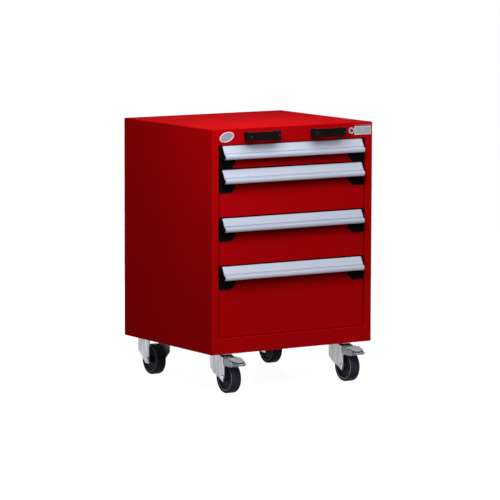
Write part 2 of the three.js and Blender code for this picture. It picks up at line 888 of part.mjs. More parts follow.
// Rigid caster, about the middle of its plate. Each leg's short edge is folded inwards.
function rigidBracket() {
  const legTipZ = wheelRadius - legBelowAxle;
  const plateEnd = mountPlateLength / 2;
  const parts = [mountPlate()];
  for (const [, side] of sides) {
    const outline = polygon([
      [side * bracketLegShort, legTipZ],
      [-side * bracketLegHeel, legTipZ],
      [-side * bracketLegLong, wheelRadius + kneeAboveAxle],
      [-side * bracketLegLong, bottomZ - seatGap],
      [-side * plateEnd, bottomZ - seatGap],
      [-side * plateEnd, bottomZ + mountPlateThickness / 2],
      [side * bracketLegShort, bottomZ + mountPlateThickness / 2],
    ]);
    const outerX = side * bracketWidth / 2;
    const foldY = side * bracketLegShort;
    parts.push(prism('x', outline, outerX - side * forkSheet, outerX));
    parts.push(block(
      [outerX - side * bracketFlange, outerX],
      [foldY - side * forkSheet, foldY],
      [legTipZ, bottomZ + mountPlateThickness / 2],
    ));
  }
  const axleHole = pin('x', axleRadius + seatGap, -bracketWidth, bracketWidth);
  return join(...parts).subtract(axleHole.translate([0, 0, wheelRadius]));
}

// Assembly
function placed(mesh, x, y, z) {
  mesh.position.set(x, y, z);
  return mesh;
}

function housingGroup(bayBottoms) {
  const group = new THREE.Group();
  for (const [word, side] of sides) {
    group.add(piece(`${word}_side_panel`, sidePanel(side), paintedSteel()));
    group.add(piece(`${word}_rail_plate`, railPlate(side, bayBottoms), zincSteel()));
    const grip = piece(`${word}_push_grip`, pushGrip(), blackPlastic());
    group.add(placed(grip, side * gripX, frontY, lockZ));
  }
  group.add(piece('back_panel', backPanel(), paintedSteel()));
  group.add(piece('top_panel', topPanel(), paintedSteel()));
  group.add(piece('base_panel', basePanel(), paintedSteel()));
  return group;
}

function lockGroup() {
  const group = new THREE.Group();
  group.add(piece('lock_housing', lockHousing(), chromedSteel()));
  group.add(piece('lock_plug', lockPlug(), chromedSteel()));
  group.add(piece('lock_bar', lockBar(), zincSteel()));
  return placed(group, lockX, frontY, lockZ);
}

function drawerGroup(number, bayHeight, bayBottom) {
  const group = new THREE.Group();
  group.add(placed(piece(`drawer_${number}_tray`, drawerTray(bayHeight), traySteel()), 0, 0, bayBottom));
  const face = new THREE.Group();
  face.add(piece(`drawer_${number}_front`, drawerFront(bayHeight), paintedSteel()));
  face.add(piece(`drawer_${number}_handle`, drawerHandle(), satinAluminium()));
  for (const [word, side] of sides) {
    face.add(piece(`drawer_${number}_cap_${word}`, handleCap(side), blackPlastic()));
    group.add(piece(`carriage_${number}_${word}`, carriage(side, bayBottom), zincSteel()));
  }
  group.add(placed(face, 0, frontY + frontSetback, bayBottom + bayHeight - frontGap));
  return group;
}

function wheelMeshes(place, axleY, width) {
  const meshes = [
    piece(`${place}_tyre`, tyre(), tyreRubber()),
    piece(`${place}_hub`, hub(), hubPlastic()),
    piece(`${place}_axle`, axle(width), zincSteel()),
  ];
  return meshes.map((mesh) => placed(mesh, 0, axleY, wheelRadius));
}

function casterGroup(word, side) {
  const group = new THREE.Group();
  const front = new THREE.Group();
  front.add(piece(`front_${word}_caster_plate`, swivelPlate(), zincSteel()));
  front.add(piece(`front_${word}_fork`, fork(), zincSteel()));
  front.add(piece(`front_${word}_brake_pedal`, brakePedal(), zincSteel()));
  front.add(...wheelMeshes(`front_${word}`, -swivelTrail, forkWidth));
  group.add(placed(front, side * casterX, swivelCasterY, 0));
  const rear = new THREE.Group();
  rear.add(piece(`rear_${word}_bracket`, rigidBracket(), zincSteel()));
  rear.add(...wheelMeshes(`rear_${word}`, 0, bracketWidth));
  group.add(placed(rear, side * casterX, rigidCasterY, 0));
  return group;
}

// The origin is on the floor under the middle of the whole cabinet, brake pedals included
const cabinet = new THREE.Group();
cabinet.position.y = pedalOverhang / 2;

const bayBottoms = [];
let bayTop = topZ - topRailHeight;
for (const bayHeight of bayHeights) {
  bayTop -= bayHeight;
  bayBottoms.push(bayTop);
}
cabinet.add(housingGroup(bayBottoms), lockGroup());
bayHeights.forEach((bayHeight, i) => cabinet.add(drawerGroup(i + 1, bayHeight, bayBottoms[i])));
for (const [word, side] of sides) cabinet.add(casterGroup(word, side));

const part = new THREE.Group();
part.add(cabinet);
export default part;
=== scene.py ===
import json
import math

import bmesh
import bpy
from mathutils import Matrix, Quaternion, Vector

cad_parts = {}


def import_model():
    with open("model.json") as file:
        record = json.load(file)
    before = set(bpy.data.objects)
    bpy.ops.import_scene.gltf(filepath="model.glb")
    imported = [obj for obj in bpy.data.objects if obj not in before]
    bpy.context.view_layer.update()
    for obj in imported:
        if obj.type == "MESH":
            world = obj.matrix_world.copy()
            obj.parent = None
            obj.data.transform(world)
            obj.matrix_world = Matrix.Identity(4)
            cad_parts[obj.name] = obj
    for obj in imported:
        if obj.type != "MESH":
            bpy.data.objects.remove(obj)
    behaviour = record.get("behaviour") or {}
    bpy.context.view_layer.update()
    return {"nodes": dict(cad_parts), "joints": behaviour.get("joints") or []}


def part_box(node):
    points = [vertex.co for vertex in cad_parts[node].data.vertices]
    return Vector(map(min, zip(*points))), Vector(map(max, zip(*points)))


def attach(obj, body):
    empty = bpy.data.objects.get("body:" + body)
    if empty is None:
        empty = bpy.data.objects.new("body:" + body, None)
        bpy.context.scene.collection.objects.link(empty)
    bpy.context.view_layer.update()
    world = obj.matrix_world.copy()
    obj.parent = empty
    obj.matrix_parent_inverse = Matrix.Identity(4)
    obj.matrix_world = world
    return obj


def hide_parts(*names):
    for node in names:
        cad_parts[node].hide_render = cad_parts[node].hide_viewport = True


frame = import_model()

# Sheets and gaps, in metres like every size here
SHEET = 0.0015
HIDDEN_OVERLAP = 0.002
POST_RETURN = 0.0217
RAIL_LIP = 0.018
STICK_GAP = 0.0001
WELD_DISTANCE = 0.00002

# Wheels: how far from the middle of the wheel a form lies
TYRE_TREAD = 0.0125
TYRE_SIDE = 0.0165
TYRE_BORE_SIDE = 0.013
HUB_WEB = 0.0105

# Wheels: radii, depths and heights
TYRE_SHOULDER = 0.0012
TYRE_SIDE_DROP = 0.0048
TYRE_LEAN = 0.0006
TYRE_BORE_DEPTH = 0.0024
AXLE_HOLE = 0.0049
HUB_BOSS = 0.0105
HUB_LIP = 0.0018
HUB_RIM = 0.0055
HUB_BEAD = 0.0012
RING_WIDTH = 0.0017
RING_HEIGHT = 0.0006

# Badge and label on the top rail; the two shares are of the badge's radius
BADGE_WIDTH = 0.055
BADGE_HEIGHT = 0.031
BADGE_TILT = math.radians(14)
BADGE_LEFT = 0.0543
BADGE_RIM_HEIGHT = 0.0016
BADGE_DOME = 0.0012
BADGE_FACE_SHARE = 0.80
BADGE_CROWN_SHARE = 0.45
LABEL_WIDTH = 0.0640
LABEL_HEIGHT = 0.0275
LABEL_THICKNESS = 0.0009
LABEL_CORNER = 0.0012
LABEL_RIGHT = 0.0065
LABEL_BORDER = 0.0026
LABEL_DROP = 0.0008
# The thin strip above the label is a painted highlight along the rail's edge; these are its sizes
STRIP_HEIGHT = 0.0024
STRIP_CORNER = 0.0006
STRIP_GAP = 0.0028

# Screws of the push grips and bolts of the casters
SCREW_RADIUS = 0.0030
SCREW_SOCKET = 0.0012
SCREW_HEIGHT = 0.0012
SCREW_SIDE = SCREW_HEIGHT / 2
SCREW_FLOOR = SCREW_HEIGHT / 3
SCREW_INSET = 0.0085
BOLT_RADIUS = 0.0042
BOLT_HEIGHT = 0.0034
BOLT_CHAMFER = 0.00085
BOLT_PLACE_X = 0.0289
BOLT_PLACE_Y = 0.041
BOLT_SIDES = 6

# Counts: facets round a turned form, steps round a corner, digits that tell corners apart
FINE_FACETS = 96
SMALL_FACETS = 48
CORNER_STEPS = 6
PLACE_DIGITS = 5

# Rounded edges, as radius and segments, and the steepest fold that is shaded smooth
BEND = (0.0024, 4)
FOLD = (0.0011, 3)
GRIP_EDGE = (0.0032, 4)
CAP_EDGE = (0.0014, 3)
STAMPED_EDGE = (0.0009, 3)
PLATE_EDGE = (0.0009, 2)
STEEL_EDGE = (0.0005, 2)
BAR_EDGE = (0.0005, 1)
HANDLE_EDGE = (0.0004, 2)
SMALL_EDGE = (0.00025, 2)
TRAY_EDGE = (0.00025, 1)
RING_EDGE = (RING_HEIGHT / 2, 2)
LABEL_EDGE = (LABEL_THICKNESS / 4, 2)
SMOOTH_ANGLE = math.radians(32)

# Noises in the finishes: the part of their range that is used, their detail, and shares
# that stretch them along an axis
NOISE_MIDDLE = (0.3, 0.7)
NOISE_DETAIL = 2.0
EVEN = (1, 1, 1)
ZINC_STREAKS = (1, 1, 0.10)
PEDAL_STREAKS = (1, 0.3, 1)
BRUSHED = (0.02, 1, 1)

# The camera that was fitted to the photograph
CAMERA_PLACE = (-5.9858, -9.2262, 1.7555)
CAMERA_AZIMUTH = math.radians(-32.924)
CAMERA_ELEVATION = math.radians(6.931)
CAMERA_ROLL = math.radians(0.167)
CAMERA_LENS = 246.52
CAMERA_REACH = 200
SENSOR_WIDTH = 36

# The studio: levels where 1 is white, the floor, and the lamps as place, aim, size and power
WHITE = (1, 1, 1, 1)
WHITE_LEVEL = 1.0
DARK_LEVEL = 0.0
AMBIENT_LEVEL = 0.016
FLOOR_GLOW = 0.96
FLOOR_MATT = 0.25
FLOOR_SHADE_REACH = (0.5, 1.6)
FLOOR_REACH = 60
LAMPS = {
    "key": ((-0.5, -1.75, 2.9), (0, -0.2, 0.6), 3.6, 66),
    "overhead": ((-0.03, -0.17, 1.25), (-0.03, -0.17, 0.84), 0.25, 0.70),
    "fill": ((-0.95, -0.85, 1.7), (-0.3, -0.2, 0.75), 0.5, 8.8),
    "rear": ((1.4, 2.1, 0.7), (0.1, 0.1, 0.45), 0.2, 24),
}

DRAWERS = (1, 2, 3, 4)
SIDES = ("left", "right")
nodes = frame["nodes"]


# Mesh helpers
def smoothing_group():
    """Smooth shading that stays sharp at every fold steeper than the angle."""
    group = bpy.data.node_groups.new("fold_smoothing", "GeometryNodeTree")
    group.interface.new_socket("Geometry", in_out="INPUT", socket_type="NodeSocketGeometry")
    group.interface.new_socket("Geometry", in_out="OUTPUT", socket_type="NodeSocketGeometry")
    source = group.nodes.new("NodeGroupInput")
    drop = group.nodes.new("GeometryNodeRemoveAttribute")
    drop.inputs["Name"].default_value = "custom_normal"
    faces = group.nodes.new("GeometryNodeSetShadeSmooth")
    faces.domain = "FACE"
    angle = group.nodes.new("GeometryNodeInputMeshEdgeAngle")
    steep = group.nodes.new("FunctionNodeCompare")
    steep.operation = "GREATER_THAN"
    steep.inputs[1].default_value = SMOOTH_ANGLE
    edges = group.nodes.new("GeometryNodeSetShadeSmooth")
    edges.domain = "EDGE"
    edges.inputs["Shade Smooth"].default_value = False
    target = group.nodes.new("NodeGroupOutput")
    group.links.new(source.outputs[0], drop.inputs["Geometry"])
    group.links.new(drop.outputs["Geometry"], faces.inputs["Geometry"])
    group.links.new(faces.outputs["Geometry"], edges.inputs["Geometry"])
    group.links.new(angle.outputs["Unsigned Angle"], steep.inputs[0])
    group.links.new(steep.outputs["Result"], edges.inputs["Selection"])
    group.links.new(edges.outputs["Geometry"], target.inputs[0])
    return group


SMOOTHING = smoothing_group()


def round_edges(obj, edge=None, sheet=None):
    """Joins loose faces, rounds the folds, thickens a bare skin inwards and shades it smooth."""
    weld = obj.modifiers.new("weld", "WELD")
    weld.merge_threshold = WELD_DISTANCE
    if edge:
        bevel = obj.modifiers.new("rounded", "BEVEL")
        bevel.width, bevel.segments = edge
        bevel.limit_method = "ANGLE"
        bevel.angle_limit = SMOOTH_ANGLE
        bevel.use_clamp_overlap = True
    if sheet:
        wall = obj.modifiers.new("sheet", "SOLIDIFY")
        wall.thickness = sheet
        wall.offset = -1
        wall.use_even_offset = True
    smooth = obj.modifiers.new("smoothing", "NODES")
    smooth.node_group = SMOOTHING
    even = obj.modifiers.new("even_faces", "WEIGHTED_NORMAL")
    even.keep_sharp = True
    return obj


def dress(obj, material):
    """Puts a material on the object's own slots."""
    if not obj.material_slots:
        obj.data.materials.append(material)
    for slot in obj.material_slots:
        slot.link = "OBJECT"
        slot.material = material
    return obj


def cad_piece(name, edge, material):
    """Rounds and dresses a CAD piece that is kept."""
    dress(round_edges(nodes[name], edge), material)


def fixed_piece(obj, edge, material):
    """Rounds and dresses a piece that stays on the cabinet."""
    dress(round_edges(obj, edge), material)
    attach(obj, "cabinet")


def to_object(name, bm, find_outside=True):
    """Links a mesh, whose faces are first turned outwards unless they already are."""
    if find_outside:
        bmesh.ops.recalc_face_normals(bm, faces=bm.faces)
    mesh = bpy.data.meshes.new(name)
    bm.to_mesh(mesh)
    bm.free()
    obj = bpy.data.objects.new(name, mesh)
    bpy.context.scene.collection.objects.link(obj)
    return obj


def join_rings(bm, rings, closed):
    """Joins rings of points by faces, round to the first one or with a face at both ends."""
    following = rings[1:] + rings[:1] if closed else rings[1:]
    for here, there in zip(rings, following):
        for i in range(len(here)):
            j = (i + 1) % len(here)
            bm.faces.new((here[i], here[j], there[j], there[i]))
    if not closed:
        bm.faces.new(rings[0])
        bm.faces.new(rings[-1])


def turned(bm, profile, centre, axis="x", facets=FINE_FACETS, closed=True):
    """Turns a profile of (distance along the axis, radius); an open one gets flat ends."""
    rings = []
    for step in range(facets):
        angle = 2 * math.pi * step / facets
        across, up = math.cos(angle), math.sin(angle)
        ring = []
        for along, radius in profile:
            spots = {
                "x": (along, radius * across, radius * up),
                "y": (radius * across, along, radius * up),
                "z": (radius * across, radius * up, along),
            }
            ring.append(bm.verts.new(Vector(centre) + Vector(spots[axis])))
        rings.append(ring)
    join_rings(bm, list(zip(*rings)), closed)
    return bm


def mirrored(half):
    """A whole profile from its half on one side of the middle."""
    return half + [(-along, radius) for along, radius in reversed(half) if along]


def slab(bm, low, high):
    """Adds a box between two corners."""
    spots = [(x, y, z) for x in (low[0], high[0]) for y in (low[1], high[1]) for z in (low[2], high[2])]
    verts = [bm.verts.new(spot) for spot in spots]
    for face in ((0, 1, 3, 2), (4, 6, 7, 5), (0, 4, 5, 1), (2, 3, 7, 6), (0, 2, 6, 4), (1, 5, 7, 3)):
        bm.faces.new([verts[i] for i in face])
    return bm


def skin(faces):
    """A mesh of faces, given by their corners, that share the corners where they meet."""
    bm = bmesh.new()
    verts = {}
    for corners in faces:
        keys = [tuple(round(value, PLACE_DIGITS) for value in corner) for corner in corners]
        for key, corner in zip(keys, corners):
            if key not in verts:
                verts[key] = bm.verts.new(corner)
        bm.faces.new([verts[key] for key in keys])
    return bm


def upright(start, end, low, high):
    """The corners of a wall that runs from one spot of the plan to another."""
    return (*start, low), (*end, low), (*end, high), (*start, high)


def level(height, *spots):
    """The corners of a flat face over spots of the plan."""
    return [(x, y, height) for x, y in spots]


# Material helpers
def new_material(name):
    """A material with its node tree and its shader."""
    material = bpy.data.materials.new(name)
    material.use_nodes = True
    tree = material.node_tree
    return material, tree, tree.nodes["Principled BSDF"]


def noise(tree, scale, stretch):
    """A noise in the object's own space, stretched by a share along each axis."""
    place = tree.nodes.new("ShaderNodeTexCoord")
    mapping = tree.nodes.new("ShaderNodeMapping")
    mapping.inputs["Scale"].default_value = stretch
    texture = tree.nodes.new("ShaderNodeTexNoise")
    texture.inputs["Scale"].default_value = scale
    texture.inputs["Detail"].default_value = NOISE_DETAIL
    tree.links.new(place.outputs["Object"], mapping.inputs["Vector"])
    tree.links.new(mapping.outputs["Vector"], texture.inputs["Vector"])
    return texture.outputs["Fac"]


def span(tree, source, given, wanted, smooth=False):
    """Maps one range to another, whose ends are numbers or sockets."""
    node = tree.nodes.new("ShaderNodeMapRange")
    if smooth:
        node.interpolation_type = "SMOOTHSTEP"
    node.inputs["From Min"].default_value, node.inputs["From Max"].default_value = given
    for name, end in zip(("To Min", "To Max"), wanted):
        if isinstance(end, (int, float)):
            node.inputs[name].default_value = end
        else:
            tree.links.new(end, node.inputs[name])
    tree.links.new(source, node.inputs["Value"])
    return node.outputs["Result"]


def tint(tree, source, dark, light):
    """Mixes two colours by a noise."""
    node = tree.nodes.new("ShaderNodeMix")
    node.data_type = "RGBA"
    node.inputs["A"].default_value = (*dark, 1)
    node.inputs["B"].default_value = (*light, 1)
    tree.links.new(span(tree, source, NOISE_MIDDLE, (0, 1)), node.inputs["Factor"])
    return node.outputs["Result"]


def add_bump(tree, shader, source, strength, distance):
    """Bumps the surface by a noise."""
    bump = tree.nodes.new("ShaderNodeBump")
    bump.inputs["Strength"].default_value = strength
    bump.inputs["Distance"].default_value = distance
    tree.links.new(source, bump.inputs["Height"])
    tree.links.new(bump.outputs["Normal"], shader.inputs["Normal"])


def finish_surface(name, dark, light, rough, metallic, cloud, grain, stretch=EVEN, specular=0.5):
    """A surface whose colour drifts by one noise, and whose gloss and normal vary by a finer one.

    The cloud is the scale of the first noise. The grain is the scale of the second, with the
    strength and the depth of its bumps.
    """
    material, tree, shader = new_material(name)
    grain_scale, strength, distance = grain
    drift = noise(tree, cloud, stretch)
    fine = noise(tree, grain_scale, stretch)
    tree.links.new(tint(tree, drift, dark, light), shader.inputs["Base Color"])
    tree.links.new(span(tree, fine, NOISE_MIDDLE, rough), shader.inputs["Roughness"])
    add_bump(tree, shader, fine, strength, distance)
    shader.inputs["Metallic"].default_value = metallic
    shader.inputs["Specular IOR Level"].default_value = specular
    return material


# Finishes
def red_paint():
    return finish_surface(
        "red_powder_coat", dark=(0.57, 0.0020, 0.0042), light=(0.63, 0.0026, 0.0050),
        rough=(0.62, 0.74), metallic=0.0, cloud=3.0, grain=(900.0, 0.12, 0.0002), specular=0.004)


def tray_paint():
    return finish_surface(
        "tray_powder_coat", dark=(0.25, 0.26, 0.275), light=(0.29, 0.30, 0.315),
        rough=(0.42, 0.55), metallic=0.0, cloud=4.0, grain=(900.0, 0.12, 0.0002), specular=0.3)


def handle_metal():
    return finish_surface(
        "satin_aluminium", dark=(0.49, 0.54, 0.665), light=(0.58, 0.63, 0.745),
        rough=(0.46, 0.56), metallic=0.35, cloud=5.0, grain=(420.0, 0.10, 0.0001), stretch=BRUSHED)


def black_moulding():
    return finish_surface(
        "black_moulding", dark=(0.0040, 0.0040, 0.0045), light=(0.0065, 0.0065, 0.0075),
        rough=(0.58, 0.70), metallic=0.0, cloud=12.0, grain=(1400.0, 0.25, 0.00015), specular=0.01)


def grip_moulding():
    return finish_surface(
        "grip_moulding", dark=(0.0110, 0.0075, 0.0070), light=(0.0150, 0.0105, 0.0100),
        rough=(0.58, 0.70), metallic=0.0, cloud=12.0, grain=(1400.0, 0.25, 0.00015), specular=0.01)


def zinc_plate():
    return finish_surface(
        "zinc_plate", dark=(0.35, 0.36, 0.38), light=(0.68, 0.69, 0.72),
        rough=(0.30, 0.46), metallic=0.9, cloud=120.0, grain=(260.0, 0.10, 0.0002), stretch=ZINC_STREAKS)


def slide_zinc():
    return finish_surface(
        "slide_zinc", dark=(0.40, 0.41, 0.43), light=(0.48, 0.49, 0.51),
        rough=(0.34, 0.46), metallic=0.9, cloud=20.0, grain=(260.0, 0.08, 0.0002))


def pedal_zinc():
    return finish_surface(
        "pedal_zinc", dark=(0.40, 0.43, 0.47), light=(0.62, 0.65, 0.69), rough=(0.46, 0.60),
        metallic=0.25, cloud=90.0, grain=(260.0, 0.10, 0.0002), stretch=PEDAL_STREAKS, specular=0.3)


def lock_metal():
    return finish_surface(
        "lock_chrome", dark=(0.46, 0.44, 0.46), light=(0.56, 0.54, 0.56),
        rough=(0.22, 0.34), metallic=1.0, cloud=20.0, grain=(300.0, 0.03, 0.0001))


def plug_metal():
    return finish_surface(
        "lock_plug_metal", dark=(0.075, 0.060, 0.065), light=(0.11, 0.09, 0.095),
        rough=(0.34, 0.46), metallic=0.8, cloud=20.0, grain=(300.0, 0.03, 0.0001))


def screw_steel():
    return finish_surface(
        "screw_steel", dark=(0.032, 0.029, 0.029), light=(0.048, 0.044, 0.044),
        rough=(0.44, 0.56), metallic=0.8, cloud=40.0, grain=(400.0, 0.04, 0.0001))


def tyre_rubber():
    return finish_surface(
        "tyre_rubber", dark=(0.040, 0.042, 0.062), light=(0.062, 0.064, 0.090),
        rough=(0.50, 0.62), metallic=0.0, cloud=18.0, grain=(500.0, 0.20, 0.0003), specular=0.05)


def hub_plastic():
    return finish_surface(
        "hub_plastic", dark=(0.014, 0.016, 0.030), light=(0.024, 0.027, 0.046),
        rough=(0.40, 0.52), metallic=0.0, cloud=25.0, grain=(700.0, 0.15, 0.0002), specular=0.06)


# Painted highlight: the pale grey of the hub's rings stands in for light catching the rim's edge
def hub_edge_highlight():
    return finish_surface(
        "hub_edge_highlight", dark=(0.46, 0.48, 0.54), light=(0.60, 0.62, 0.68),
        rough=(0.40, 0.52), metallic=0.0, cloud=25.0, grain=(700.0, 0.15, 0.0002), specular=0.2)


def badge_enamel():
    return finish_surface(
        "badge_enamel", dark=(0.34, 0.38, 0.55), light=(0.50, 0.50, 0.66),
        rough=(0.30, 0.42), metallic=0.0, cloud=60.0, grain=(400.0, 0.04, 0.0001), specular=0.2)


def badge_rim_metal():
    return finish_surface(
        "badge_rim", dark=(0.82, 0.60, 0.66), light=(0.92, 0.74, 0.78),
        rough=(0.34, 0.46), metallic=0.2, cloud=60.0, grain=(400.0, 0.05, 0.0001))


def label_border():
    return finish_surface(
        "label_border", dark=(0.88, 0.86, 0.88), light=(0.96, 0.94, 0.96),
        rough=(0.40, 0.52), metallic=0.0, cloud=60.0, grain=(700.0, 0.08, 0.0001), specular=0.1)


def label_face():
    return finish_surface(
        "label_face", dark=(0.50, 0.55, 0.66), light=(0.66, 0.69, 0.77),
        rough=(0.40, 0.52), metallic=0.0, cloud=70.0, grain=(700.0, 0.08, 0.0001), specular=0.1)


# Painted highlight: a pale pinkish colour for the thin strip that stands in for light along the rail's edge
# above the label
def rail_edge_highlight_paint():
    return finish_surface(
        "rail_edge_highlight_paint", dark=(0.30, 0.14, 0.12), light=(0.40, 0.20, 0.17),
        rough=(0.40, 0.52), metallic=0.0, cloud=70.0, grain=(700.0, 0.08, 0.0001), specular=0.1)


red = red_paint()
tray_grey = tray_paint()
aluminium = handle_metal()
black = black_moulding()
grip_black = grip_moulding()
zinc = zinc_plate()
pedal_steel = pedal_zinc()
slide_steel = slide_zinc()
rubber = tyre_rubber()
hub_black = hub_plastic()
hub_highlight_grey = hub_edge_highlight()
steel = screw_steel()


# Housing
def housing_skin():
    """The side panels, the top and the front frame, which is open in the middle, as one sheet."""
    low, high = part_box("left_side_panel")[0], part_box("right_side_panel")[1]
    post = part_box("left_side_panel")[1].x
    rail_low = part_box("base_panel")[1].z
    rail_high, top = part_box("top_panel")[0].z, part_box("top_panel")[1].z
    front, back = low.y, high.y
    inner, lip = front + POST_RETURN, front + RAIL_LIP
    xs = (low.x, post, -post, high.x)
    zs = (low.z, rail_low, rail_high, top)
    columns = list(zip(xs, xs[1:]))
    rows = list(zip(zs, zs[1:]))
    opening = (columns[1], rows[1])
    faces = []
    for column, side_row in zip(columns, rows):
        left, right = column
        faces += [upright((left, front), (right, front), *row) for row in rows if (column, row) != opening]
        faces += [
            level(top, (left, front), (right, front), (right, back), (left, back)),
            upright((low.x, back), (low.x, front), *side_row),
            upright((high.x, front), (high.x, back), *side_row),
        ]
    faces += [
        upright((post, front), (post, inner), rail_low, rail_high),
        upright((-post, inner), (-post, front), rail_low, rail_high),
        level(rail_high, (post, front), (post, lip), (-post, lip), (-post, front)),
        level(rail_low, (post, lip), (post, front), (-post, front), (-post, lip)),
    ]
    obj = to_object("housing_skin", skin(faces), find_outside=False)
    dress(round_edges(obj, BEND, SHEET), red)
    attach(obj, "cabinet")
    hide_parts("left_side_panel", "right_side_panel", "top_panel")


def base_sheet():
    """The base sheet inside the housing, above the caster plates."""
    low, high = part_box("base_panel")
    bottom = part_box("rear_left_bracket")[1].z + STICK_GAP
    bm = bmesh.new()
    slab(bm, (low.x, low.y + RAIL_LIP + HIDDEN_OVERLAP, bottom), (high.x, high.y, bottom + SHEET))
    obj = to_object("base_sheet", bm)
    dress(round_edges(obj, STEEL_EDGE), red)
    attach(obj, "cabinet")
    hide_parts("base_panel")


# Drawers and grips
def drawer(number):
    """The pieces of a drawer, and the carriages of its slides."""
    tag = f"drawer_{number}_"
    cad_piece(tag + "front", FOLD, red)
    cad_piece(tag + "tray", TRAY_EDGE, tray_grey)
    cad_piece(tag + "handle", HANDLE_EDGE, aluminium)
    for side in SIDES:
        cad_piece(tag + "cap_" + side, CAP_EDGE, black)
        cad_piece(f"carriage_{number}_{side}", None, slide_steel)


def grip_screws(side):
    """A screw near each end of a push grip."""
    low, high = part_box(side + "_push_grip")
    bm = bmesh.new()
    profile = [
        (0, SCREW_RADIUS),
        (-SCREW_SIDE, SCREW_RADIUS),
        (-SCREW_HEIGHT, SCREW_RADIUS - SCREW_HEIGHT),
        (-SCREW_HEIGHT, SCREW_SOCKET),
        (-SCREW_FLOOR, SCREW_SOCKET),
    ]
    for x in (low.x + SCREW_INSET, high.x - SCREW_INSET):
        centre = (x, low.y - STICK_GAP, (low.z + high.z) / 2)
        turned(bm, profile, centre, "y", SMALL_FACETS, closed=False)
    fixed_piece(to_object(side + "_grip_screws", bm), SMALL_EDGE, steel)


# Casters
def tyre(place, centre, radius, bore):
    """A tyre with a flat tread, sloping shoulders and sides that fall in towards the hub."""
    half = [
        (0, radius),
        (TYRE_TREAD, radius),
        (TYRE_SIDE - TYRE_SHOULDER, radius - TYRE_SHOULDER),
        (TYRE_SIDE, radius - TYRE_SIDE_DROP),
        (TYRE_SIDE - TYRE_LEAN, bore + TYRE_BORE_DEPTH),
        (TYRE_BORE_SIDE, bore + STICK_GAP),
    ]
    obj = to_object(place + "_tyre_fine", turned(bmesh.new(), mirrored(half), centre))
    dress(round_edges(obj, STAMPED_EDGE), rubber)
    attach(obj, place + "_wheel")
    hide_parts(place + "_tyre")


def hub(place, centre, bore, boss_side, rim_side):
    """A hub with a boss round the axle, a sunk web and a rim."""
    half = [
        (boss_side, AXLE_HOLE),
        (boss_side, HUB_BOSS - HUB_BEAD),
        (boss_side - HUB_BEAD, HUB_BOSS),
        (HUB_WEB, HUB_BOSS + HUB_LIP),
        (HUB_WEB, bore - HUB_RIM - HUB_LIP),
        (rim_side - HUB_BEAD, bore - HUB_RIM),
        (rim_side, bore - HUB_RIM + HUB_BEAD),
        (rim_side, bore - HUB_BEAD),
        (rim_side - HUB_BEAD, bore),
    ]
    obj = to_object(place + "_hub_fine", turned(bmesh.new(), mirrored(half), centre))
    dress(round_edges(obj, STEEL_EDGE), hub_black)
    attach(obj, place + "_wheel")
    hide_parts(place + "_hub")


def hub_highlight_rings(place, centre, bore, rim_side):
    """A thin raised ring on the hub's rim, on both sides of the wheel; its pale colour is a painted
    highlight on the rim's edge.
    """
    bm = bmesh.new()
    outer = bore - HUB_BEAD
    inner = outer - RING_WIDTH
    foot = rim_side - HUB_BEAD
    crest = rim_side + RING_HEIGHT
    for side in (-1, 1):
        profile = [(side * foot, outer), (side * crest, outer), (side * crest, inner), (side * foot, inner)]
        turned(bm, profile, centre)
    obj = to_object(place + "_hub_highlight_ring", bm)
    # Painted highlight: pale grey on the rim's edge
    dress(round_edges(obj, RING_EDGE), hub_highlight_grey)
    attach(obj, place + "_wheel")


def wheel(place):
    """The tyre, the hub and its rings turned finely, and the axle."""
    centre = next(joint["pos_m"] for joint in frame["joints"] if joint["name"] == place + "_wheel_spin")
    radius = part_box(place + "_tyre")[1].z - centre[2]
    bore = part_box(place + "_hub")[1].z - centre[2]
    boss_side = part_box(place + "_hub")[1].x - centre[0]
    rim_side = TYRE_BORE_SIDE + HUB_LIP
    tyre(place, centre, radius, bore)
    hub(place, centre, bore, boss_side, rim_side)
    hub_highlight_rings(place, centre, bore, rim_side)
    cad_piece(place + "_axle", STEEL_EDGE, zinc)


def casters(side):
    """The front and the rear caster of one side."""
    cad_piece(f"front_{side}_fork", STAMPED_EDGE, zinc)
    cad_piece(f"front_{side}_caster_plate", PLATE_EDGE, zinc)
    cad_piece(f"front_{side}_brake_pedal", STEEL_EDGE, pedal_steel)
    wheel("front_" + side)
    cad_piece(f"rear_{side}_bracket", STAMPED_EDGE, zinc)
    wheel("rear_" + side)


def plate_bolts(plate):
    """Four hexagon bolts under a caster's mounting plate."""
    low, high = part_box(plate)
    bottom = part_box("left_side_panel")[0].z
    centre = (low + high) / 2
    bm = bmesh.new()
    profile = [
        (0, BOLT_RADIUS),
        (BOLT_CHAMFER - BOLT_HEIGHT, BOLT_RADIUS),
        (-BOLT_HEIGHT, BOLT_RADIUS - BOLT_CHAMFER),
    ]
    for across in (-BOLT_PLACE_X, BOLT_PLACE_X):
        for along in (-BOLT_PLACE_Y, BOLT_PLACE_Y):
            spot = (centre.x + across, centre.y + along, bottom - STICK_GAP)
            turned(bm, profile, spot, "z", BOLT_SIDES, closed=False)
    fixed_piece(to_object(plate + "_bolts", bm), SMALL_EDGE, steel)


# Lock, label and badge on the top rail
def lock():
    """The lock's housing and plug, and the bar that it lifts."""
    cad_piece("lock_housing", SMALL_EDGE, lock_metal())
    cad_piece("lock_plug", SMALL_EDGE, plug_metal())
    cad_piece("lock_bar", BAR_EDGE, slide_steel)


def rail_centre_z():
    """The height of the lock's middle, from which the badge and the label are placed."""
    low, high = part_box("lock_housing")
    return (low.z + high.z) / 2


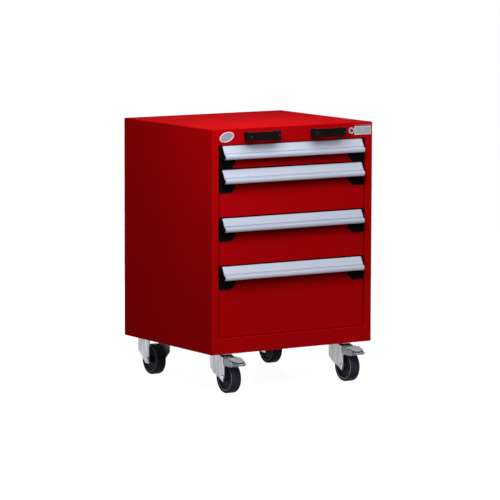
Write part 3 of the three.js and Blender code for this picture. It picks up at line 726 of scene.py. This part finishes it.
def rounded_plate(name, spans, corner, front, material):
    """A thin plate with round corners that faces the front; its spans are (low, high) in x and z."""
    (low_x, high_x), (low_z, high_z) = spans
    middles = (
        (high_x - corner, high_z - corner),
        (low_x + corner, high_z - corner),
        (low_x + corner, low_z + corner),
        (high_x - corner, low_z + corner),
    )
    outline = []
    for quarter, (x, z) in enumerate(middles):
        for step in range(CORNER_STEPS + 1):
            angle = math.pi / 2 * (quarter + step / CORNER_STEPS)
            outline.append((x + corner * math.cos(angle), z + corner * math.sin(angle)))
    bm = bmesh.new()
    depths = (front, front + LABEL_THICKNESS)
    join_rings(bm, [[bm.verts.new((x, y, z)) for x, z in outline] for y in depths], closed=False)
    fixed_piece(to_object(name, bm), LABEL_EDGE, material)


def label():
    """A bare label with a pale border, and above it a thin pinkish strip that is a painted highlight on the
    rail's edge.
    """
    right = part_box("right_side_panel")[1].x - LABEL_RIGHT
    left = right - LABEL_WIDTH
    low = rail_centre_z() - LABEL_HEIGHT / 2 - LABEL_DROP
    high = low + LABEL_HEIGHT
    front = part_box("top_panel")[0].y - STICK_GAP - LABEL_THICKNESS
    rounded_plate("label_plate", ((left, right), (low, high)), LABEL_CORNER, front, label_border())
    inner = ((left + LABEL_BORDER, right - LABEL_BORDER), (low + LABEL_BORDER, high - LABEL_BORDER))
    rounded_plate("label_print", inner, LABEL_CORNER, front - STICK_GAP, label_face())
    # Painted highlight: this thin pinkish strip stands in for light on the rail's edge above the label
    strip = ((left, right), (high + STRIP_GAP, high + STRIP_GAP + STRIP_HEIGHT))
    rounded_plate("label_edge_highlight_strip", strip, STRIP_CORNER, front, rail_edge_highlight_paint())


def tilted_oval(name, profile, closed, material):
    """An oval turned from a profile of (share of its radius, distance in front of the rail)."""
    centre_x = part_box("left_side_panel")[0].x + BADGE_LEFT
    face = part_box("top_panel")[0].y - STICK_GAP
    bm = bmesh.new()
    rings = []
    for share, height in profile:
        ring = []
        for step in range(FINE_FACETS):
            angle = 2 * math.pi * step / FINE_FACETS
            along = share * BADGE_WIDTH / 2 * math.cos(angle)
            across = share * BADGE_HEIGHT / 2 * math.sin(angle)
            x = centre_x + along * math.cos(BADGE_TILT) - across * math.sin(BADGE_TILT)
            z = rail_centre_z() + along * math.sin(BADGE_TILT) + across * math.cos(BADGE_TILT)
            ring.append(bm.verts.new((x, face - height, z)))
        rings.append(ring)
    join_rings(bm, rings, closed)
    fixed_piece(to_object(name, bm), SMALL_EDGE, material)


def badge():
    """A bare oval badge: a raised rim round a low dome."""
    inner = BADGE_FACE_SHARE
    crest = (1 + inner) / 2
    shoulder = BADGE_RIM_HEIGHT / 2
    rim = ((1, 0), (1, shoulder), (crest, BADGE_RIM_HEIGHT), (inner, shoulder), (inner, 0))
    tilted_oval("badge_rim", rim, True, badge_rim_metal())
    face = ((inner, 0), (inner, BADGE_DOME / 2), (BADGE_CROWN_SHARE, BADGE_DOME))
    tilted_oval("badge_face", face, False, badge_enamel())


# The stage: floor, lamps and camera
def stage_floor():
    """A wide flat floor that isn't part of the object."""
    mesh = bpy.data.meshes.new("studio_floor")
    reach = FLOOR_REACH
    corners = [(-reach, -reach, 0), (reach, -reach, 0), (reach, reach, 0), (-reach, reach, 0)]
    mesh.from_pydata(corners, [], [(0, 1, 2, 3)])
    obj = bpy.data.objects.new("studio_floor", mesh)
    bpy.context.scene.collection.objects.link(obj)
    obj.data.materials.append(floor_material())


def floor_material():
    """White to the camera and in reflections; a painted shade makes it a little less white near the object,
    where its shadow falls.
    """
    material = bpy.data.materials.new("pale_floor")
    material.use_nodes = True
    tree = material.node_tree
    tree.nodes.clear()
    place = tree.nodes.new("ShaderNodeTexCoord")
    distance = tree.nodes.new("ShaderNodeVectorMath")
    distance.operation = "LENGTH"
    tree.links.new(place.outputs["Object"], distance.inputs[0])
    # Painted shade: the floor glows a little less near the object, whatever the light
    shade = span(tree, distance.outputs["Value"], FLOOR_SHADE_REACH, (FLOOR_GLOW, WHITE_LEVEL), smooth=True)
    glow = tree.nodes.new("ShaderNodeEmission")
    glow.inputs["Color"].default_value = WHITE
    tree.links.new(seen_only(tree, shade, DARK_LEVEL), glow.inputs["Strength"])
    matt = tree.nodes.new("ShaderNodeBsdfDiffuse")
    matt.inputs["Color"].default_value = (FLOOR_MATT, FLOOR_MATT, FLOOR_MATT, 1)
    both = tree.nodes.new("ShaderNodeAddShader")
    target = tree.nodes.new("ShaderNodeOutputMaterial")
    tree.links.new(glow.outputs[0], both.inputs[0])
    tree.links.new(matt.outputs[0], both.inputs[1])
    tree.links.new(both.outputs[0], target.inputs["Surface"])
    return material


def world():
    """White to the camera, in gloss and through glass, and a faint light from all round."""
    scene_world = bpy.data.worlds.new("pale_studio")
    bpy.context.scene.world = scene_world
    scene_world.use_nodes = True
    tree = scene_world.node_tree
    tree.nodes.clear()
    sky = tree.nodes.new("ShaderNodeBackground")
    sky.inputs["Color"].default_value = WHITE
    tree.links.new(seen_only(tree, WHITE_LEVEL, AMBIENT_LEVEL), sky.inputs["Strength"])
    target = tree.nodes.new("ShaderNodeOutputWorld")
    tree.links.new(sky.outputs[0], target.inputs["Surface"])


def seen_only(tree, seen_level, otherwise):
    """A level for rays from the camera, from gloss and through glass, and another for the rest."""
    path = tree.nodes.new("ShaderNodeLightPath")
    gloss = larger(tree, path.outputs["Is Glossy Ray"], path.outputs["Is Transmission Ray"])
    seen = larger(tree, path.outputs["Is Camera Ray"], gloss)
    return span(tree, seen, (0, 1), (otherwise, seen_level))


def larger(tree, one, other):
    """The larger of two values."""
    node = tree.nodes.new("ShaderNodeMath")
    node.operation = "MAXIMUM"
    tree.links.new(one, node.inputs[0])
    tree.links.new(other, node.inputs[1])
    return node.outputs[0]


def lamp(name, place, aim, size, power):
    """A round lamp that faces the point it is aimed at."""
    light = bpy.data.lights.new(name, "AREA")
    light.shape = "DISK"
    light.size = size
    light.energy = power
    obj = bpy.data.objects.new(name, light)
    bpy.context.scene.collection.objects.link(obj)
    obj.location = place
    obj.rotation_mode = "QUATERNION"
    obj.rotation_quaternion = (Vector(aim) - Vector(place)).to_track_quat("-Z", "Y")


def camera():
    """The camera, placed and turned as the fit to the photograph says."""
    data = bpy.data.cameras.new("camera")
    data.lens = CAMERA_LENS
    data.sensor_width = SENSOR_WIDTH
    data.clip_end = CAMERA_REACH
    obj = bpy.data.objects.new("camera", data)
    bpy.context.scene.collection.objects.link(obj)
    obj.location = CAMERA_PLACE
    flat = math.cos(CAMERA_ELEVATION)
    across = math.sin(CAMERA_AZIMUTH) * flat
    along = -math.cos(CAMERA_AZIMUTH) * flat
    back = Vector((across, along, math.sin(CAMERA_ELEVATION)))
    obj.rotation_mode = "QUATERNION"
    obj.rotation_quaternion = (-back).to_track_quat("-Z", "Y") @ Quaternion((0, 0, 1), CAMERA_ROLL)
    bpy.context.scene.camera = obj


# The stage
bpy.context.scene.view_settings.view_transform = "Standard"
camera()
stage_floor()
world()
for lamp_name, values in LAMPS.items():
    lamp(lamp_name, *values)

# The cabinet
housing_skin()
base_sheet()
cad_piece("back_panel", STEEL_EDGE, red)
for number in DRAWERS:
    drawer(number)
for side in SIDES:
    cad_piece(side + "_push_grip", GRIP_EDGE, grip_black)
    cad_piece(side + "_rail_plate", None, slide_steel)
    casters(side)
lock()
badge()
label()
for side in SIDES:
    grip_screws(side)
    plate_bolts(f"front_{side}_caster_plate")
    plate_bolts(f"rear_{side}_bracket")
